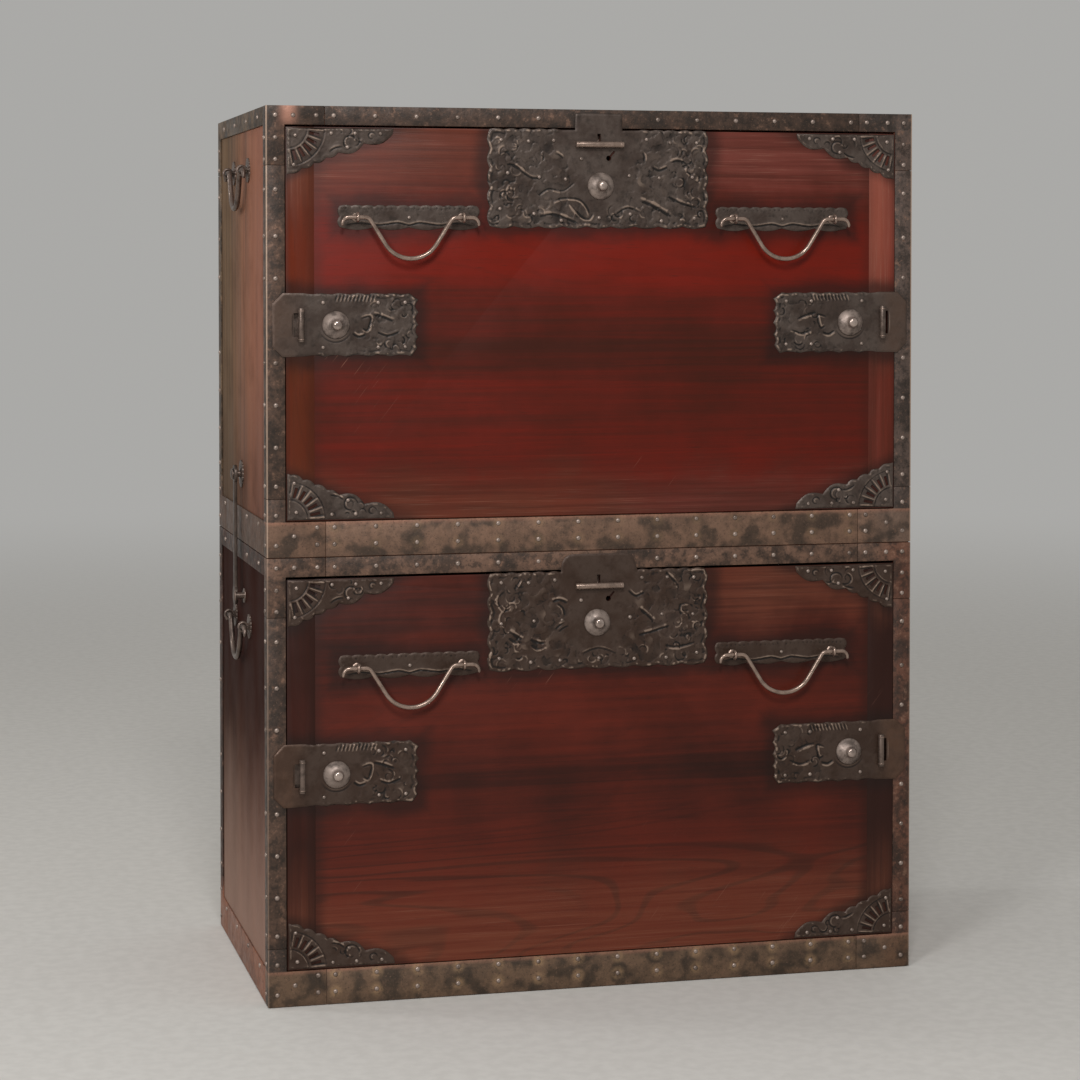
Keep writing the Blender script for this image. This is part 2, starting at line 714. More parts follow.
@made_once
def wiped_lacquer_on_zelkova(name, unit, part):
    """Clear red lacquer wiped over long-grained boards: satin, with dark grain and sooty irons.

    The eye gets wavy bands of red and brown along the grain, fine pale fibres where the lacquer
    has dried at the top, and a dirty halo round every iron.
    """
    material, tree, shader, place = new_material(name)
    tone = tones()
    upper, batten = unit == "upper", part == "batten"
    red, deep = (tone.upper_red, tone.upper_deep) if upper else (tone.lower_red, tone.lower_deep)
    board_low, board_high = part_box(f"{unit}_door_board")
    face, joint_x = board_low.y, board_high.x - JOINT_INSET
    batten_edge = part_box(f"{unit}_door_battens")[1].x
    base_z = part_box(f"{unit}_left_side")[0].z

    def up(height_mm):
        return base_z + height_mm * MM

    x, y, z = add(tree, "SeparateXYZ", {"Vector": place}).outputs
    along = "Z" if batten else "X"
    drift = grain(tree, place, (along, 560, 70), 3, 0.5)
    streaks = grain(tree, place, (along, 330, 7), 6, 0.62, 0.4)
    hairs = grain(tree, place, (along, 90, 1.0), 3)
    pores = grain(tree, place, (along, 26, 1.1), 3, 0.7)
    figure = grain(tree, place, (along, 620, 120), 2, 0.4, 0.9)
    clouds = grain(tree, place, 95)
    low_mm, high_mm = RED_HEIGHTS[unit][0][0], RED_HEIGHTS[unit][-1][0]
    stops = [((mm - low_mm) / (high_mm - low_mm), level) for mm, level in RED_HEIGHTS[unit]]
    height = drifting(tree, z, drift, 22 * MM)
    climb = add(tree, "MapRange", {"Value": height, "From Min": up(low_mm), "From Max": up(high_mm)})
    clear = drifting(tree, add(tree, "ValToRGB", {"Fac": climb}, stops), streaks, 0.42)
    clear = drifting(tree, clear, clouds, 0.3)
    if not upper:
        clear = drifting(tree, clear, grain(tree, place, 150, 2, 0.5), 0.4)
    look = coated(tree, deep, (red, (clear, -0.05, 1.05)))
    right = share(tree, (x, 0.0, 0.1 * MM))
    if batten and upper:
        look = coated(tree, look, (tone.batten, (right, 0.0, 1.0, 0.2, 0.6)))
    elif batten:
        look = coated(tree, look, (deep, (right, 0.0, 1.0, 0.95, 0.75)))
    turns = add(tree, "Math", {0: figure, 1: 70.0}, operation="MULTIPLY")
    rings = add(tree, "Math", {0: turns}, operation="SINE")
    look = coated(
        tree, look,
        (deep, (rings, 0.5, 1.0), 0.12 if upper else (z, up(230), up(130), 0.6, 0.12)),
        (deep, (pores, 0.58, 0.74, 0.55)))
    hazy_z = drifting(tree, z, clouds, 40 * MM)
    lit = share(tree, (hazy_z, up(250), up(380), 1.0, 0.25),
                (drifting(tree, x, clouds, 14 * MM), batten_edge, joint_x, 1.0, 0.5))
    if upper:
        dry = [share(tree, (hazy_z, up(385), up(470), 0.5), (x, -120 * MM, 120 * MM, 1.0, 0.6)),
               share(tree, (hazy_z, up(120), up(45), 0.32))]
    else:
        dry = [share(tree, (hazy_z, up(190), up(60), 0.5)),
               share(tree, (x, 60 * MM, 200 * MM, 0.4), (hazy_z, up(410), up(470)))]
    if batten and upper:
        dry.append(share(tree, right, lit))
    dry = share(tree, combined(tree, "MAXIMUM", dry), (streaks, 0.3, 0.7, 1.3, 0.5))
    haze = coated(tree, tone.haze, ("#764138", (x, -60 * MM, 120 * MM))) if upper else tone.haze
    look = coated(tree, look, (haze, dry))
    if batten and upper:
        glow = add(tree, "Math", {0: lit, 1: 0.25}, operation="SUBTRACT")
        look = coated(tree, look, ("#954e3c", glow, right))
    side = off(tree, x)
    soot = beside_irons(tree, place, unit, sizes().soot)
    beside_joint = off(tree, drifting(tree, side, clouds, 6 * MM), joint_x)
    slanted = add(tree, "Mapping", {"Vector": place, "Rotation": (0.0, math.radians(52), 0.0)})
    scratches = grain(tree, slanted, ("X", 60, 0.9), 1, 0.5)
    look = coated(
        tree, look,
        ("#96705f", (hairs, 0.54, 0.72, 0.75 if upper else 0.4), dry),
        (deep, (beside_joint, 17 * MM, 0.0, 0.4 if upper else 0.6)),
        (deep, (side, batten_edge - 7 * MM, batten_edge, 0.4)),
        ("#1c110d", soot, (y, face + 8 * MM, face + 2 * MM), 0.66),
        ("#9a6a58", (scratches, 0.73, 0.78, 0.4), (grain(tree, place, 190, 2), 0.6, 0.68)))
    connect(tree, shader, {
        "Base Color": look, "Roughness": share(tree, (clouds, 0.3, 0.75, 0.5, 0.34)),
        "Specular IOR Level": 0.2, "Normal": bumped(tree, (0.3, 0.2, pores), (0.25, 0.5, streaks))})
    return material


@made_once
def rubbed_lacquer_on_zelkova(name, unit, along):
    """Thin old lacquer rubbed off the case boards: matt, straight grain, pink-brown to olive."""
    material, tree, shader, place = new_material(name)
    tone = tones()
    upper = unit == "upper"
    low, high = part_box(f"{unit}_left_side")
    _, y, z = add(tree, "SeparateXYZ", {"Vector": place}).outputs
    streaks = grain(tree, place, (along, 700, 14), 5, 0.6, 0.2)
    wide = grain(tree, place, (along, 900, 60), 3, 0.5)
    hairs = grain(tree, place, (along, 120, 1.6), 3, 0.65)
    clouds = grain(tree, place, 80)
    streaked = 0.4 if upper else 0.2
    if upper:
        shades = [("#291812", (z, high.z - 260 * MM, low.z, 0.45))]
    else:
        dusty = drifting(tree, drifting(tree, z, wide, 60 * MM), clouds, 25 * MM)
        shades = [("#280d07", (z, low.z, low.z + 400 * MM, 0.95, 0.2)),
                  (tone.side_low, (dusty, low.z + 330 * MM, low.z, 0.75))]
    look = coated(
        tree, tone.side_front,
        (tone.side_rear, (drifting(tree, y, wide, 55 * MM), -150 * MM, 150 * MM)),
        ("#6b4b40", 0.0 if upper else 0.6),
        (tone.side_deep, (streaks, 0.42, 0.7, streaked)),
        (tone.side_deep, (hairs, 0.55, 0.75, streaked)),
        (tone.side_deep, (clouds, 0.45, 0.75, 0.35)),
        *shades)
    connect(tree, shader, {
        "Base Color": look, "Roughness": share(tree, (clouds, 0.3, 0.75, 0.76, 0.62)),
        "Specular IOR Level": 0.15 if upper else 0.04,
        "Normal": bumped(tree, (0.35, 0.25, hairs), (0.3, 0.6, streaks))})
    return material


@made_once
def planed_paulownia(name, along):
    """Bare planed paulownia: straight pale grain with fine late-growth lines, quite matt.

    Boards that face sideways, such as a drawer's sides, have their grain from front to back.
    """
    material, tree, shader, place = new_material(name)
    tone = tones()
    facing = add(tree, "SeparateXYZ", {"Vector": add(tree, "TexCoord").outputs["Normal"]})
    sideways = share(tree, (off(tree, facing.outputs["X"]), 0.6, 0.7))
    fields = []
    for long_mm, wide_mm, detail in ((600, 9, 5), (60, 1.2, 2)):
        level, across = (
            grain(tree, place, (axis, long_mm, wide_mm), detail, 0.6, 0.2) for axis in (along, "Y"))
        fields.append(coated(tree, level, (across, sideways)))
    bands, fibres = fields
    look = coated(
        tree, tone.kiri,
        (tone.kiri_deep, (bands, 0.38, 0.66, 0.7)),
        (tone.kiri_deep, (fibres, 0.5, 0.8, 0.35)),
        (tone.kiri_aged, (grain(tree, place, 210), 0.4, 0.7, 0.45)))
    connect(tree, shader, {
        "Base Color": look, "Roughness": 0.72, "Normal": bumped(tree, (0.3, 0.2, fibres))})
    return material


def pitted(tree, place, rough, metal, depth):
    """Shader inputs for forge scale and pits: uneven gloss, and specks that catch the light."""
    scale = grain(tree, place, 13, 5, 0.65)
    pits = grain(tree, place, 2.2, 3, 0.7)
    return {
        "Roughness": share(tree, (scale, 0.3, 0.7, rough + 0.14, rough - 0.08)), "Metallic": metal,
        "Normal": bumped(tree, (0.5 * depth, 0.3, pits), (0.5 * depth, 0.9, scale))}


def nail_halo(tree, x, z, base_z):
    """1 at the nails of a rail, in rows that start half a pitch from the middle, and 0 away from them."""
    half_pitch = RAIL_NAIL_PITCH / 2
    dx = off(tree, add(tree, "Math", {0: x, 1: half_pitch}, operation="PINGPONG"), half_pitch)
    dz = combined(tree, "MINIMUM", [off(tree, z, base_z + row) for row in RAIL_NAIL_ROWS])
    away = add(tree, "VectorMath", {0: add(tree, "CombineXYZ", {"X": dx, "Z": dz})}, operation="LENGTH")
    on_rail = (off(tree, x), RAIL_NAILS_END, RAIL_NAILS_END - 2 * MM)
    return share(tree, (away, 11 * MM, 2 * MM), on_rail)


@made_once
def forged_iron_strap(name, unit, part):
    """Hammered sheet iron, oiled and rubbed: brown patina, patches of soot, pale specks, worn arrises."""
    material, tree, shader, place = new_material(name)
    tone = tones()
    upper, edge = unit == "upper", part == "edge"
    low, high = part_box(f"{unit}_front_straps")
    foot = low.z + RAIL_HEIGHT
    x, y, z = add(tree, "SeparateXYZ", {"Vector": place}).outputs
    patches = grain(tree, place, 42)
    blotches = grain(tree, place, 11, 4, 0.7)
    specks = grain(tree, place, 2.8, 3, 0.75)
    on_rail = share(tree, (z, foot, foot - 2 * MM))
    off_rail = (z, foot, foot - 2 * MM, 0.4, 1.0)
    if edge:
        foot_tone, head_tone = (tone.strap, "#6c5842") if upper else (tone.strap_rust, "#3b1f16")
        coats = [(coated(tree, foot_tone, (head_tone, (z, foot, foot + 30 * MM))), 0.8)]
    else:
        head_tone = tone.strap_dark if upper else tone.strap_rub
        ends = drifting(tree, x, patches, 20 * MM)
        fold = off(tree, drifting(tree, z, blotches, 4 * MM), foot)
        coats = [
            (head_tone, (z, high.z - 27 * MM, high.z - 22 * MM, 0.35)),
            ("#605a58" if upper else "#6e3f2d", (ends, 340 * MM, 380 * MM, 0.3 if upper else 0.5)),
            ("#4a4029", on_rail, 0.15 if upper else 0.45),
            ("#29221a", on_rail, (grain(tree, place, 30, 2, 0.5), 0.46, 0.6, 0.7)),
            ("#a0705a", on_rail, (fold, 7 * MM, 0.0, 0.8)),
            (tone.strap_gold, on_rail, nail_halo(tree, x, z, low.z),
             (blotches, 0.34, 0.6, 0.3 if upper else 0.8))]
    coats += [
        (tone.strap_dark, (patches, 0.42, 0.6, 0.7), off_rail),
        (tone.strap_dark, (blotches, 0.48, 0.62, 0.65), off_rail),
        (tone.strap_rub, (blotches, 0.45, 0.3, 0.5), off_rail),
        (tone.strap_rub, (specks, 0.58, 0.7, 0.5)),
        (tone.strap_dark, (specks, 0.44, 0.32, 0.7)),
        ("#b79c88", (off(tree, x), high.x - 2.2 * MM, high.x - 0.4 * MM),
         (y, low.y + 1.4 * MM, low.y + 0.2 * MM), 0.8 if upper else 0.3)]
    if upper and not edge:
        worn = off(tree, x, -372 * MM)
        coats.append(("#b4806c", (worn, 16 * MM, 0.0, 0.75), (z, high.z - 30 * MM, high.z - 12 * MM)))
    look = coated(tree, tone.strap, (tone.strap_rub, on_rail, 0.62), *coats)
    connect(tree, shader, {"Base Color": look, **pitted(tree, place, 0.52, 0.3, 1.6)})
    return material


@made_once
def chased_wrought_iron(name, unit):
    """Chased sheet iron, blackened and rubbed: soot in the cuts, bright ridges and rims.

    The plain outer ends of the latch plates are rubbed brown by the hands that work the bolts.
    """
    material, tree, shader, place = new_material(name)
    tone = tones()
    upper = unit == "upper"
    low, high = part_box(unit + "_latch_plates")
    x, _, z = add(tree, "SeparateXYZ", {"Vector": place}).outputs
    patches = grain(tree, place, 34, 5)
    blotches = grain(tree, place, 9, 4, 0.65)
    mark = add(tree, "Attribute", attribute_name="relief").outputs["Fac"]
    look = coated(
        tree, tone.plate_smooth,
        (tone.plate, (patches, 0.42, 0.62)),
        (tone.strap_dark, (blotches, 0.48, 0.72, 0.6)),
        ("#38200f", 0.0 if upper else 0.5),
        (tone.strap if upper else "#5d4130", (off(tree, x), 345 * MM, 375 * MM),
         (off(tree, z, (low.z + high.z) / 2), 42 * MM, 40 * MM), (patches, 0.35, 0.6, 0.25, 0.7)),
        (tone.plate_cut, (mark, -0.08, -0.6, 0.95)),
        (tone.plate_ridge, (mark, 0.18, 0.75, 0.75)))
    connect(tree, shader, {"Base Color": look, **pitted(tree, place, 0.44, 0.45, 0.8)})
    return material


@made_once
def rubbed_iron(name, use):
    """Solid iron polished by hands and rags: bright where it stands out, brown between."""
    material, tree, shader, place = new_material(name)
    tone = tones()
    light, dark, rough, metal, browned = {
        "nail": (tone.nail, "#4e4037", 0.36, 0.6, 0.75),
        "boss": (tone.boss, "#3f352f", 0.42, 0.5, 0.75),
        "tip": ("#b5a49a", "#6f6058", 0.2, 0.75, 0.6),
        "rod": (tone.rod, "#4a3d35", 0.24, 0.7, 0.4),
        "handle": (tone.handle, "#2f2722", 0.32, 0.65, 0.6),
        "hook": ("#574a42", "#2b231e", 0.42, 0.55, 0.6),
    }[use]
    look = coated(
        tree, light,
        (dark, (grain(tree, place, 12), 0.42, 0.68, browned)),
        (dark, (grain(tree, place, 2.4, 3, 0.7), 0.56, 0.7, 0.4)))
    connect(tree, shader, {"Base Color": look, **pitted(tree, place, rough, metal, 0.35)})
    return material


# Operators


class ChestOperator:
    """What the operators share."""

    bl_options = {"REGISTER", "UNDO"}


class SEACHEST_OT_case_boards(ChestOperator, bpy.types.Operator):
    """Eases and lacquers the outer boards and sills of both cases"""

    bl_idname = "sea_chests.case_boards"
    bl_label = "Case boards"

    def execute(self, context):
        for unit in CHESTS:
            for part in ("left_side", "right_side", "top_board", "bottom_board", "sill"):
                lacquer = rubbed_lacquer_on_zelkova(unit, "Z" if part.endswith("side") else "X")
                eased(f"{unit}_{part}", lacquer, sizes().board_ease)
        return {"FINISHED"}


class SEACHEST_OT_inner_boards(ChestOperator, bpy.types.Operator):
    """Eases the backs, shelves, runners and drawers of bare paulownia"""

    bl_idname = "sea_chests.inner_boards"
    bl_label = "Inner boards and drawers"

    def execute(self, context):
        for unit in CHESTS:
            for part, along in (("back_board", "X"), ("shelf", "X"), ("runners", "Y"), ("drawer", "X")):
                eased(f"{unit}_{part}", planed_paulownia(along), sizes().board_ease * 0.6)
        return {"FINISHED"}


class SEACHEST_OT_doors(ChestOperator, bpy.types.Operator):
    """Eases and lacquers the door boards and their battens"""

    bl_idname = "sea_chests.doors"
    bl_label = "Doors"

    def execute(self, context):
        for unit in CHESTS:
            for node, part in (("door_board", "board"), ("door_battens", "batten")):
                lacquer = wiped_lacquer_on_zelkova(unit, part)
                eased(f"{unit}_{node}", lacquer, sizes().board_ease * 0.5)
            eased(f"{unit}_lock_case", rubbed_iron("handle"), sizes().iron_ease)
        return {"FINISHED"}


class SEACHEST_OT_straps(ChestOperator, bpy.types.Operator):
    """Eases the folded straps of forged iron"""

    bl_idname = "sea_chests.straps"
    bl_label = "Straps"

    def execute(self, context):
        for unit in CHESTS:
            for part in ("front", "edge"):
                iron = forged_iron_strap(unit, part)
                eased(f"{unit}_{part}_straps", iron, sizes().iron_ease)
        return {"FINISHED"}


# Outlines turned about an axis, as radius and height: the nail's as shares of its own, the others in
# millimetres
NAIL_PROFILE = [(1.0, 0), (0.98, 0.2), (0.9, 0.5), (0.7, 0.8), (0.4, 0.96), (0, 1.0)]
BOSS_PROFILE = [
    (16, 0), (16, 0.9), (15.4, 1.7), (14.2, 2.9), (12.6, 4.3), (10.8, 5.6), (9.2, 6.6), (8.0, 7.3),
    (7.1, 8.1), (6.6, 8.8), (6.3, 9.4), (0, 9.4)]
TIP_PROFILE = [
    (0, 9.2), (6.3, 9.2), (6.2, 10.6), (5.9, 12.2), (5.2, 13.4), (4.0, 14.3), (2.4, 14.8), (1.0, 15),
    (0, 15)]
STUD_PROFILE = [
    (4, 0), (4, 11.1), (6.6, 11.2), (7, 11.6), (6.9, 12.2), (6.0, 13.1), (4.2, 13.8), (2.0, 14.1),
    (0, 14.1)]


def domed_nails(node, seed):
    """Sets hand-made domed heads on the places of a node's nails, each a little different."""
    rng = random.Random(seed)
    heads = []
    for low, high in islands(node):
        size, middle = high - low, (low + high) / 2
        thin = min(range(3), key=lambda i: size[i])
        normal = Vector((0, 0, 0))
        normal[thin] = -1 if thin == 1 else math.copysign(1, middle.x)
        radius, height = max(size) / 2 / MM, size[thin] / MM
        head = lathe([(r * radius, h * height) for r, h in NAIL_PROFILE], 14)
        foot = middle - normal * size[thin] / 2
        lean = Vector([normal[i] + rng.uniform(-0.06, 0.06) for i in range(3)])
        at = standing(foot - lean * 0.1 * MM, lean, rng.uniform(0, 6), rng.uniform(0.9, 1.0))
        heads.append(moved(head, at))
    to_piece(node + "_domed", to_bmesh(joined(heads)), body_of(node), rubbed_iron("nail"),
             [node], crease=70)


class SEACHEST_OT_nails(ChestOperator, bpy.types.Operator):
    """Sets domed heads on the nails of the straps and of the door plates"""

    bl_idname = "sea_chests.nails"
    bl_label = "Nails"

    def execute(self, context):
        seed = sizes().seed
        for unit in CHESTS:
            for part in ("strap_nails", "door_nails"):
                seed += 1
                domed_nails(f"{unit}_{part}", seed)
        return {"FINISHED"}


class SEACHEST_OT_bosses(ChestOperator, bpy.types.Operator):
    """Turns the stepped bosses with their bright nipples"""

    bl_idname = "sea_chests.bosses"
    bl_label = "Bosses"

    def execute(self, context):
        for unit in CHESTS:
            node = unit + "_boss_studs"
            feet = [
                Vector(((low.x + high.x) / 2, high.y, (low.z + high.z) / 2)) for low, high in islands(node)]
            for part, profile, use, replaced in (
                    ("bosses", BOSS_PROFILE, "boss", [node]), ("boss_tips", TIP_PROFILE, "tip", None)):
                shapes = [moved(lathe(profile, 40), standing(foot, (0, -1, 0))) for foot in feet]
                to_piece(f"{unit}_{part}", to_bmesh(joined(shapes)), body_of(node),
                         rubbed_iron(use), replaced, crease=50)
        return {"FINISHED"}


def foliage(rng, x0, x1, z0, z1, count):
    """Small seeded leaf curls inside a box, in millimetres."""
    strokes = []
    for _ in range(count):
        radius, turn = rng.uniform(2.5, 7), rng.choice((-1, 1)) * rng.uniform(110, 250)
        start = rng.uniform(0, 360)
        x, z = rng.uniform(x0, x1), rng.uniform(z0, z1)
        line = curl(x, z, radius, radius * rng.uniform(0.4, 1), start, start + turn)
        strokes.append((line, 0.95, rng.uniform(0.45, 0.9)))
    return strokes


def punched_row(x0, x1, z, step, rng):
    """A row of small round punch marks."""
    return [
        (curl(x, z + rng.uniform(-0.8, 0.8), 0.8, 0.8, 0, 300, 6), 0.7, 0.5)
        for x in np.arange(x0, x1, step)]


def drawn(x, z, out, rows):
    """Flowing strokes, as width, depth and points, which count from (x, z) and, across, towards out."""
    return [
        (flowing(*[(x + out * dx, z + dz) for dx, dz in points]), width, depth)
        for width, depth, *points in rows]


def upper_lock_strokes(z):
    """Wave, leaves and clouds of the upper lock plate; z is the door's top edge."""
    return drawn(0, z, 1, (
        (1.4, 1.2, (-112, -41), (-103, -43), (-91, -52), (-82, -57), (-70, -57)),
        (1.3, -1.0, (-56, -87), (-44, -83), (-26, -84), (-17, -92), (-13, -101)),
        (1.3, -1.2, (-37, -88), (-29, -98), (-20, -106), (-11, -107), (-6, -100)),
        (1.5, 1.1, (-72, -102), (-56, -100), (-40, -105), (-24, -111)),
        (1.3, 1.1, (66, -43), (75, -47), (85, -43)),
        (1.3, 1.0, (89, -38), (98, -35), (111, -40)),
        (2.0, 1.2, (50, -83), (64, -88), (75, -94), (90, -102)),
        (1.4, 1.1, (86, -78), (102, -86), (120, -91)),
        (1.3, 0.9, (20, -100), (36, -92), (52, -98)),
        (1.1, 0.7, (-30, -62), (-44, -72), (-62, -70), (-74, -78)),
    )) + [
        (bow(-53, z - 28, -44, z - 34, 1), 1.3, 1.1),
        (bow(54, z - 26, 56, z - 36, 1), 1.2, 1.1),
        (bow(-70, z - 27, -70, z - 38, 0), 1.0, -0.9),
        (curl(-104, z - 73, 12, 9, 60, 330), 1.1, 0.6),
        (curl(100, z - 60, 9, 4, 200, 480), 1.1, 0.9),
    ]


def lower_lock_strokes(z):
    """Wave, leaves and clouds of the lower lock plate; z is the door's top edge."""
    return drawn(0, z, 1, (
        (1.5, 1.2, (-57, -35), (-48, -33), (-39, -37)),
        (1.2, -1.1, (-52, -39), (-46, -44), (-44, -52)),
        (1.1, -1.0, (-101, -20), (-97, -13), (-94, -8)),
        (1.6, 1.2, (-110, -69), (-102, -74), (-94, -79)),
        (1.3, -0.9, (-112, -78), (-104, -84), (-95, -84)),
        (1.5, 1.1, (-84, -79), (-75, -83), (-66, -84)),
        (1.3, -1.0, (-84, -88), (-75, -93), (-64, -89)),
        (1.4, 1.2, (37, -24), (46, -31), (56, -27)),
        (1.7, 1.2, (50, -46), (60, -54), (68, -62)),
        (1.5, 1.1, (50, -78), (68, -74), (88, -68)),
        (1.4, -1.0, (82, -94), (100, -96), (121, -91)),
        (1.3, 1.1, (84, -4), (92, -12), (100, -20)),
        (1.2, 0.7, (-20, -98), (0, -92), (22, -99)),
    )) + [
        (bow(-53, z - 68, -41, z - 60, 1), 1.2, 0.9),
        (bow(-49, z - 71, -37, z - 64, 1), 1.1, 0.8),
        (curl(-112, z - 34, 15, 11, 110, 250), 1.2, -0.9),
        (curl(-110, z - 56, 14, 10, 110, 240), 1.2, -0.9),
        (curl(108, z - 50, 10, 5, 20, 290), 1.2, 0.9),
    ]


def latch_strokes(x, z, side, rng):
    """Feathered rays, a ring round the boss and a folded ribbon, chased on a latch plate."""
    strokes = drawn(x, z, -side, (
        (1.2, 1.1, (30, 7), (41, 9), (38, -6), (32, -4)),
        (1.4, 1.2, (20, -10), (27, -14), (35, -12)),
        (1.5, 1.2, (44, 12), (56, 9), (68, 4)),
        (1.3, 1.0, (50, -9), (62, -13), (76, -8)),
    )) + [
        (curl(x, z, 20, 20, 200, 340, 20), 1.3, 0.6),
        (bow(x + side * 50, z + 14, x + side * 50, z - 14, 0), 0.9, 0.9),
    ]
    for i in range(11):
        reach = 4 + i * 4.4
        ray = bow(x - side * (reach - 3), z + 26, x - side * reach, z + 35, 0.3, 4)
        strokes.append((ray, 1.0, -0.9))
    ends = sorted((x - side * 40, x - side * 92))
    return strokes + foliage(rng, *ends, z - 28, z + 28, 18)


def fan_strokes(x, z, out, up, rng):
    """Ribs and rims on a corner plate; out and up point from the corner into the door."""
    strokes = []
    for i in range(6):
        angle = math.radians(4.2 + i * 15.5)
        near, far = (
            (x + out * reach * math.cos(angle), z + up * reach * math.sin(angle)) for reach in (26, 44))
        strokes.append((bow(*near, *far), 1.1, -1.0))
    start = 0 if out > 0 else 180
    end = start + (86 if out * up > 0 else -86)
    strokes += [
        (curl(x, z, 24, 24, start, end), 0.9, 0.8),
        (curl(x, z, 44.5, 44.5, start, end), 0.9, 0.7),
        (curl(x + out * 74, z + up * 17, 9, 6, 0, 300), 1.1, 0.9),
        (curl(x + out * 100, z + up * 9, 5, 3, 0, 300), 1.0, 0.8),
        (bow(x + out * 50, z + up * 28, x + out * 66, z + up * 22, 2), 1.1, 0.9),
    ]
    across, rise = sorted((x + out * 52, x + out * 90)), sorted((z + up * 4, z + up * 18))
    return strokes + foliage(rng, *across, *rise, 6)


def pull_plate_strokes(low, high, rng):
    """A wave along the foot of a pull's plate, and punch marks along its top."""
    foot = low.z / MM + 5.5
    span = (high.x - low.x) / MM
    marks = [low.x / MM + span * part for part in (0.05, 0.16, 0.29, 0.42, 0.5, 0.58, 0.71, 0.84, 0.95)]
    wave = flowing(*[(m, foot + 2.6 * (i % 2)) for i, m in enumerate(marks)])
    row = punched_row(low.x / MM + 5, high.x / MM - 4, high.z / MM - 4.2, 5.4, rng)
    return [(wave, 1.1, 1.1)] + row


class SEACHEST_OT_door_plates(ChestOperator, bpy.types.Operator):
    """Chases the lock, latch, pull and corner plates"""

    bl_idname = "sea_chests.door_plates"
    bl_label = "Chased plates"

    def execute(self, context):
        rng = random.Random(sizes().seed)
        for unit, lock_strokes in zip(CHESTS, (lower_lock_strokes, upper_lock_strokes)):
            door_low, door_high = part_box(unit + "_door_board")
            top = door_high.z / MM
            strokes = lock_strokes(top)
            for side in (-1, 1):
                edges = sorted((side * 92, side * 128))
                strokes += foliage(rng, *edges, top - 108, top - 8, 30)
            strokes += foliage(rng, -90, 90, top - 108, top - 94, 12)
            bosses = [(low + high) / 2 / MM for low, high in islands(unit + "_boss_studs")]
            calm = [(boss.x, boss.z, 26) for boss in bosses] + [(0, top, 44)]
            chased_plates(unit, "lock_plate", strokes, calm)
            strokes = []
            for boss in bosses:
                if abs(boss.x) > 100:  # not the lock's, which stands in the middle
                    side = math.copysign(1, boss.x)
                    strokes += latch_strokes(boss.x, boss.z, side, rng)
                    calm.append((boss.x + side * 58, boss.z, 40))
            chased_plates(unit, "latch_plates", strokes, calm, leaves=0.8)
            strokes = []
            for plate_low, plate_high in islands(unit + "_corner_plates"):
                out = -1 if plate_low.x > 0 else 1
                up = 1 if plate_low.z < (door_low.z + door_high.z) / 2 else -1
                corner_x = (plate_high if out < 0 else plate_low).x
                corner_z = (plate_low if up > 0 else plate_high).z
                strokes += fan_strokes(corner_x / MM, corner_z / MM, out, up, rng)
            chased_plates(unit, "corner_plates", strokes, rims=0.6, leaves=0.3)
            strokes = []
            for mount_low, mount_high in islands(unit + "_pull_mounts"):
                strokes += pull_plate_strokes(mount_low, mount_high, rng)
            chased_plates(unit, "pull_mounts", strokes, rims=0.25, leaves=0.25)
        return {"FINISHED"}


# Pulls and handles, in millimetres and degrees: span of the posts, drop, rod radius, radii of the round
# bottom and of the shoulders, angle of the legs, and stand of the rod's axis off its plate
PULL = {"span": 126, "drop": 48, "rod": 2.5, "bottom": 36, "shoulder": 8, "leg": 58, "stand": 11}
HANDLE = {"span": 124, "drop": 45, "rod": 3.2, "bottom": 38, "shoulder": 9, "leg": 62, "stand": 8.5}
# The stub beyond a post, and the radius and turn of the curl at its tip
STUB = 10
TIP_CURL = 8
TIP_TURN = 105


def arc(x, z, radius, start, end, count):
    """Points of an arc about (x, z), from angle to angle in degrees."""
    angles = np.radians(np.linspace(start, end, count))
    return [(x + radius * math.cos(a), z + radius * math.sin(a)) for a in angles]


def bail_line(form):
    """Centre line of a hanging bail, from tip to tip, as (across, up) from the middle of its axis."""
    drop, bottom, shoulder, leg = (form[key] for key in ("drop", "bottom", "shoulder", "leg"))
    tip_x = form["span"] / 2 + STUB
    cos, sin = math.cos(math.radians(leg)), math.sin(math.radians(leg))
    run = (drop - (bottom + shoulder) * (1 - cos)) / sin
    shoulder_x = (bottom + shoulder) * sin + run * cos
    half = arc(0, bottom - drop, bottom, -90, -90 + leg, 16)
    half += arc(shoulder_x, -shoulder, shoulder, 90 + leg, 90, 9)
    half += [(x, 0) for x in np.linspace(shoulder_x + 3, tip_x, 6)][:-1]
    half += arc(tip_x, -TIP_CURL, TIP_CURL, 90, 90 - TIP_TURN, 12)
    return [(-x, z) for x, z in half[:0:-1]] + half


def bail(node, form, use, across):
    """Makes a swelling rod along a bail's line, thinner towards its curled and rounded tips."""
    line = bail_line(form)
    low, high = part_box(node)
    middle = (low + high) / 2 / MM
    axis_z = high.z / MM - form["rod"]
    steps = np.hypot(*np.diff(np.array(line), axis=0).T)
    along = np.concatenate([[0], np.cumsum(steps)]) / steps.sum()
    tip = np.clip(np.minimum(along, 1 - along) / 0.07, 0, 1)
    swell = np.exp(-(((along - 0.5) / 0.16) ** 2))
    radii = form["rod"] * (0.62 + 0.36 * tip ** 0.7 + 0.1 * swell)
    radii[[0, -1]] *= 0.5
    run = Vector(across)
    path = [(middle.x + u * run.x, middle.y + u * run.y, axis_z + v) for u, v in line]
    bm = to_bmesh(sweep(path, radii, (run.y, run.x, 0)))
    to_piece(node + "_forged", bm, body_of(node), rubbed_iron(use), [node], crease=60)


